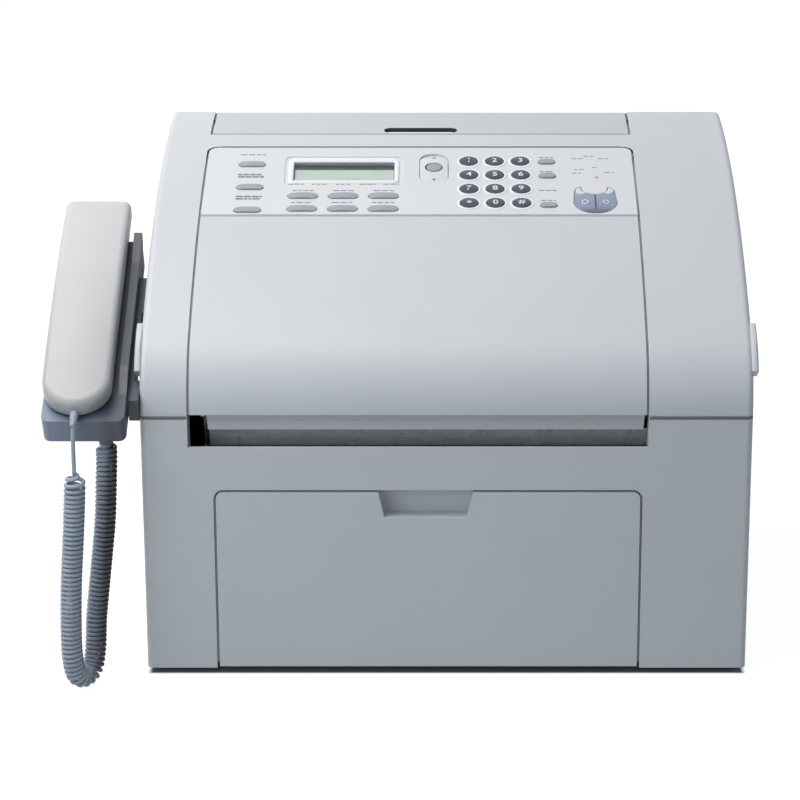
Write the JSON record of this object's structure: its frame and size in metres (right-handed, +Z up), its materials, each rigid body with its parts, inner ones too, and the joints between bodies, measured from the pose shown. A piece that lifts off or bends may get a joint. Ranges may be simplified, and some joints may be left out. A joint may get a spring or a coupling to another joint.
{
  "type": "fax machine",
  "caption": "Desktop laser fax machine with a hinged front cover and keypad, paper tray door, document lid and a corded handset in a side cradle.",
  "frame": {"origin": "centre of the body's footprint, on the surface that the feet stand on", "axes": "+X to the right seen from the front, +Y to the back, +Z up"},
  "size_m": [0.4503, 0.327, 0.3115],
  "materials": {
    "case_plastic": "fine-grained cool light grey moulding",
    "panel_plastic": "smooth near-white moulding",
    "handset_plastic": "smooth pale grey moulding",
    "cradle_plastic": "dark blue-grey moulding",
    "bracket_plastic": "dark grey moulding",
    "cord": "blue-grey vinyl jacket",
    "dark_plastic": "charcoal engineering plastic",
    "rubber": "soft black rubber",
    "steel": "plated sheet steel",
    "circuit_board": "green laminate",
    "display_window": "clear glossy pane",
    "black_plastic": "black nylon",
    "key_plastic": "satin mid grey",
    "digit_plastic": "satin dark slate",
    "blue_plastic": "translucent pale blue"
  },
  "bodies": {
    "chassis": {"lower_housing": "case_plastic", "upper_housing": "case_plastic", "rear_cover": "case_plastic", "base_pan": "dark_plastic", "feet": "rubber", "inner_frame": "steel", "handset_cradle": "cradle_plastic", "cradle_bracket": "bracket_plastic", "toner_cartridge": "dark_plastic", "laser_unit": "dark_plastic", "main_board": "circuit_board", "power_inlet": "black_plastic", "cord_coil": "cord", "cord_lead": "cord"},
    "cover": {"front_cover": "case_plastic", "control_panel": "panel_plastic", "lcd_module": "dark_plastic", "lcd_window": "display_window"},
    "door": {"tray_door": "case_plastic"},
    "lid": {"document_lid": "case_plastic"},
    "handset": {"handset_shell": "handset_plastic", "handset_inner": "handset_plastic"},
    "hook": {"hook_switch": "key_plastic"},
    "left_paper_guide": {"paper_guide_left": "dark_plastic"},
    "right_paper_guide": {"paper_guide_right": "dark_plastic"},
    "left_document_guide": {"document_guide_left": "dark_plastic"},
    "right_document_guide": {"document_guide_right": "dark_plastic"},
    "pickup": {"pickup_roller": "rubber"},
    "exit": {"exit_roller": "rubber"},
    "heat": {"heat_roller": "rubber"},
    "feed": {"document_roller": "rubber"},
    "mains_switch": {"power_switch": "black_plastic"},
    "nav": {"nav_rocker": "panel_plastic"},
    "body_ok_key": {"ok_key": "key_plastic"},
    "body_stop_key": {"stop_key": "blue_plastic"},
    "body_start_key": {"start_key": "blue_plastic"},
    "body_key_side_top": {"key_side_top": "key_plastic"},
    "body_key_side_middle": {"key_side_middle": "key_plastic"},
    "body_key_side_bottom": {"key_side_bottom": "key_plastic"},
    "body_key_menu_left": {"key_menu_left": "key_plastic"},
    "body_key_menu_middle": {"key_menu_middle": "key_plastic"},
    "body_key_menu_right": {"key_menu_right": "key_plastic"},
    "body_key_mode_left": {"key_mode_left": "key_plastic"},
    "body_key_mode_middle": {"key_mode_middle": "key_plastic"},
    "body_key_mode_right": {"key_mode_right": "key_plastic"},
    "body_key_function_top": {"key_function_top": "key_plastic"},
    "body_key_function_middle": {"key_function_middle": "key_plastic"},
    "body_key_function_bottom": {"key_function_bottom": "key_plastic"},
    "body_key_1": {"key_1": "digit_plastic"},
    "body_key_2": {"key_2": "digit_plastic"},
    "body_key_3": {"key_3": "digit_plastic"},
    "body_key_4": {"key_4": "digit_plastic"},
    "body_key_5": {"key_5": "digit_plastic"},
    "body_key_6": {"key_6": "digit_plastic"},
    "body_key_7": {"key_7": "digit_plastic"},
    "body_key_8": {"key_8": "digit_plastic"},
    "body_key_9": {"key_9": "digit_plastic"},
    "body_key_star": {"key_star": "digit_plastic"},
    "body_key_0": {"key_0": "digit_plastic"},
    "body_key_hash": {"key_hash": "digit_plastic"}
  },
  "joints": [
    {"name": "cover_hinge", "type": "hinge", "parent": "chassis", "child": "cover", "pos_m": [0, -0.135, 0.1826], "axis": [1, 0, 0], "range_deg": [0, 75]},
    {"name": "tray_door_hinge", "type": "hinge", "parent": "chassis", "child": "door", "pos_m": [0, -0.135, 0.0115], "axis": [1, 0, 0], "range_deg": [0, 90]},
    {"name": "document_lid_hinge", "type": "hinge", "parent": "chassis", "child": "lid", "pos_m": [0, 0.136, 0.30211], "axis": [-1, 0, 0], "range_deg": [0, 105]},
    {"name": "handset_lift", "type": "slide", "parent": "chassis", "child": "handset", "axis": [0, -0.4695, 0.8829], "range_m": [0, 0.12]},
    {"name": "hook_travel", "type": "slide", "parent": "chassis", "child": "hook", "axis": [0, -0.4695, 0.8829], "range_m": [0, 0.005]},
    {"name": "paper_guide_left_slide", "type": "slide", "parent": "chassis", "child": "left_paper_guide", "axis": [1, 0, 0], "range_m": [0, 0.034]},
    {"name": "paper_guide_right_slide", "type": "slide", "parent": "chassis", "child": "right_paper_guide", "axis": [1, 0, 0], "range_m": [-0.034, 0]},
    {"name": "document_guide_left_slide", "type": "slide", "parent": "chassis", "child": "left_document_guide", "axis": [1, 0, 0], "range_m": [0, 0.03]},
    {"name": "document_guide_right_slide", "type": "slide", "parent": "chassis", "child": "right_document_guide", "axis": [1, 0, 0], "range_m": [-0.03, 0]},
    {"name": "power_switch_rock", "type": "hinge", "parent": "chassis", "child": "mains_switch", "pos_m": [-0.1735, 0.137, 0.068], "axis": [1, 0, 0], "range_deg": [0, 14]},
    {"name": "nav_rock", "type": "hinge", "parent": "cover", "child": "nav", "pos_m": [-0.0085, 0.03954, 0.28944], "axis": [1, 0, 0], "range_deg": [-3, 3], "stiffness_Nm_per_rad": 0.05},
    {"name": "pickup_spin", "type": "hinge", "parent": "chassis", "child": "pickup", "pos_m": [0, -0.072, 0.0845], "axis": [1, 0, 0], "continuous": true},
    {"name": "exit_spin", "type": "hinge", "parent": "chassis", "child": "exit", "pos_m": [0, -0.11, 0.1666], "axis": [1, 0, 0], "continuous": true},
    {"name": "heat_spin", "type": "hinge", "parent": "chassis", "child": "heat", "pos_m": [0, 0.09, 0.13], "axis": [1, 0, 0], "continuous": true},
    {"name": "feed_spin", "type": "hinge", "parent": "chassis", "child": "feed", "pos_m": [0, 0.1025, 0.2857], "axis": [1, 0, 0], "continuous": true},
    {"name": "ok_press", "type": "slide", "parent": "cover", "child": "body_ok_key", "axis": [0, 0.2947, -0.9556], "range_m": [0, 0.0012], "stiffness_N_per_m": 300, "springref_m": -0.002},
    {"name": "stop_press", "type": "slide", "parent": "cover", "child": "body_stop_key", "axis": [0, 0.2947, -0.9556], "range_m": [0, 0.0012], "stiffness_N_per_m": 300, "springref_m": -0.002},
    {"name": "start_press", "type": "slide", "parent": "cover", "child": "body_start_key", "axis": [0, 0.2947, -0.9556], "range_m": [0, 0.0012], "stiffness_N_per_m": 300, "springref_m": -0.002},
    {"name": "side_top_press", "type": "slide", "parent": "cover", "child": "body_key_side_top", "axis": [0, 0.2947, -0.9556], "range_m": [0, 0.0012], "stiffness_N_per_m": 300, "springref_m": -0.002},
    {"name": "side_middle_press", "type": "slide", "parent": "cover", "child": "body_key_side_middle", "axis": [0, 0.2947, -0.9556], "range_m": [0, 0.0012], "stiffness_N_per_m": 300, "springref_m": -0.002},
    {"name": "side_bottom_press", "type": "slide", "parent": "cover", "child": "body_key_side_bottom", "axis": [0, 0.2947, -0.9556], "range_m": [0, 0.0012], "stiffness_N_per_m": 300, "springref_m": -0.002},
    {"name": "menu_left_press", "type": "slide", "parent": "cover", "child": "body_key_menu_left", "axis": [0, 0.2947, -0.9556], "range_m": [0, 0.0012], "stiffness_N_per_m": 300, "springref_m": -0.002},
    {"name": "menu_middle_press", "type": "slide", "parent": "cover", "child": "body_key_menu_middle", "axis": [0, 0.2947, -0.9556], "range_m": [0, 0.0012], "stiffness_N_per_m": 300, "springref_m": -0.002},
    {"name": "menu_right_press", "type": "slide", "parent": "cover", "child": "body_key_menu_right", "axis": [0, 0.2947, -0.9556], "range_m": [0, 0.0012], "stiffness_N_per_m": 300, "springref_m": -0.002},
    {"name": "mode_left_press", "type": "slide", "parent": "cover", "child": "body_key_mode_left", "axis": [0, 0.2947, -0.9556], "range_m": [0, 0.0012], "stiffness_N_per_m": 300, "springref_m": -0.002},
    {"name": "mode_middle_press", "type": "slide", "parent": "cover", "child": "body_key_mode_middle", "axis": [0, 0.2947, -0.9556], "range_m": [0, 0.0012], "stiffness_N_per_m": 300, "springref_m": -0.002},
    {"name": "mode_right_press", "type": "slide", "parent": "cover", "child": "body_key_mode_right", "axis": [0, 0.2947, -0.9556], "range_m": [0, 0.0012], "stiffness_N_per_m": 300, "springref_m": -0.002},
    {"name": "function_top_press", "type": "slide", "parent": "cover", "child": "body_key_function_top", "axis": [0, 0.2947, -0.9556], "range_m": [0, 0.0012], "stiffness_N_per_m": 300, "springref_m": -0.002},
    {"name": "function_middle_press", "type": "slide", "parent": "cover", "child": "body_key_function_middle", "axis": [0, 0.2947, -0.9556], "range_m": [0, 0.0012], "stiffness_N_per_m": 300, "springref_m": -0.002},
    {"name": "function_bottom_press", "type": "slide", "parent": "cover", "child": "body_key_function_bottom", "axis": [0, 0.2947, -0.9556], "range_m": [0, 0.0012], "stiffness_N_per_m": 300, "springref_m": -0.002},
    {"name": "1_press", "type": "slide", "parent": "cover", "child": "body_key_1", "axis": [0, 0.2947, -0.9556], "range_m": [0, 0.0012], "stiffness_N_per_m": 300, "springref_m": -0.002},
    {"name": "2_press", "type": "slide", "parent": "cover", "child": "body_key_2", "axis": [0, 0.2947, -0.9556], "range_m": [0, 0.0012], "stiffness_N_per_m": 300, "springref_m": -0.002},
    {"name": "3_press", "type": "slide", "parent": "cover", "child": "body_key_3", "axis": [0, 0.2947, -0.9556], "range_m": [0, 0.0012], "stiffness_N_per_m": 300, "springref_m": -0.002},
    {"name": "4_press", "type": "slide", "parent": "cover", "child": "body_key_4", "axis": [0, 0.2947, -0.9556], "range_m": [0, 0.0012], "stiffness_N_per_m": 300, "springref_m": -0.002},
    {"name": "5_press", "type": "slide", "parent": "cover", "child": "body_key_5", "axis": [0, 0.2947, -0.9556], "range_m": [0, 0.0012], "stiffness_N_per_m": 300, "springref_m": -0.002},
    {"name": "6_press", "type": "slide", "parent": "cover", "child": "body_key_6", "axis": [0, 0.2947, -0.9556], "range_m": [0, 0.0012], "stiffness_N_per_m": 300, "springref_m": -0.002},
    {"name": "7_press", "type": "slide", "parent": "cover", "child": "body_key_7", "axis": [0, 0.2947, -0.9556], "range_m": [0, 0.0012], "stiffness_N_per_m": 300, "springref_m": -0.002},
    {"name": "8_press", "type": "slide", "parent": "cover", "child": "body_key_8", "axis": [0, 0.2947, -0.9556], "range_m": [0, 0.0012], "stiffness_N_per_m": 300, "springref_m": -0.002},
    {"name": "9_press", "type": "slide", "parent": "cover", "child": "body_key_9", "axis": [0, 0.2947, -0.9556], "range_m": [0, 0.0012], "stiffness_N_per_m": 300, "springref_m": -0.002},
    {"name": "star_press", "type": "slide", "parent": "cover", "child": "body_key_star", "axis": [0, 0.2947, -0.9556], "range_m": [0, 0.0012], "stiffness_N_per_m": 300, "springref_m": -0.002},
    {"name": "0_press", "type": "slide", "parent": "cover", "child": "body_key_0", "axis": [0, 0.2947, -0.9556], "range_m": [0, 0.0012], "stiffness_N_per_m": 300, "springref_m": -0.002},
    {"name": "hash_press", "type": "slide", "parent": "cover", "child": "body_key_hash", "axis": [0, 0.2947, -0.9556], "range_m": [0, 0.0012], "stiffness_N_per_m": 300, "springref_m": -0.002}
  ],
  "couplings": [
    {"joint": "hook_travel", "follows": "handset_lift", "ratio": 0.041667},
    {"joint": "paper_guide_right_slide", "follows": "paper_guide_left_slide", "ratio": -1},
    {"joint": "document_guide_right_slide", "follows": "document_guide_left_slide", "ratio": -1}
  ]
}
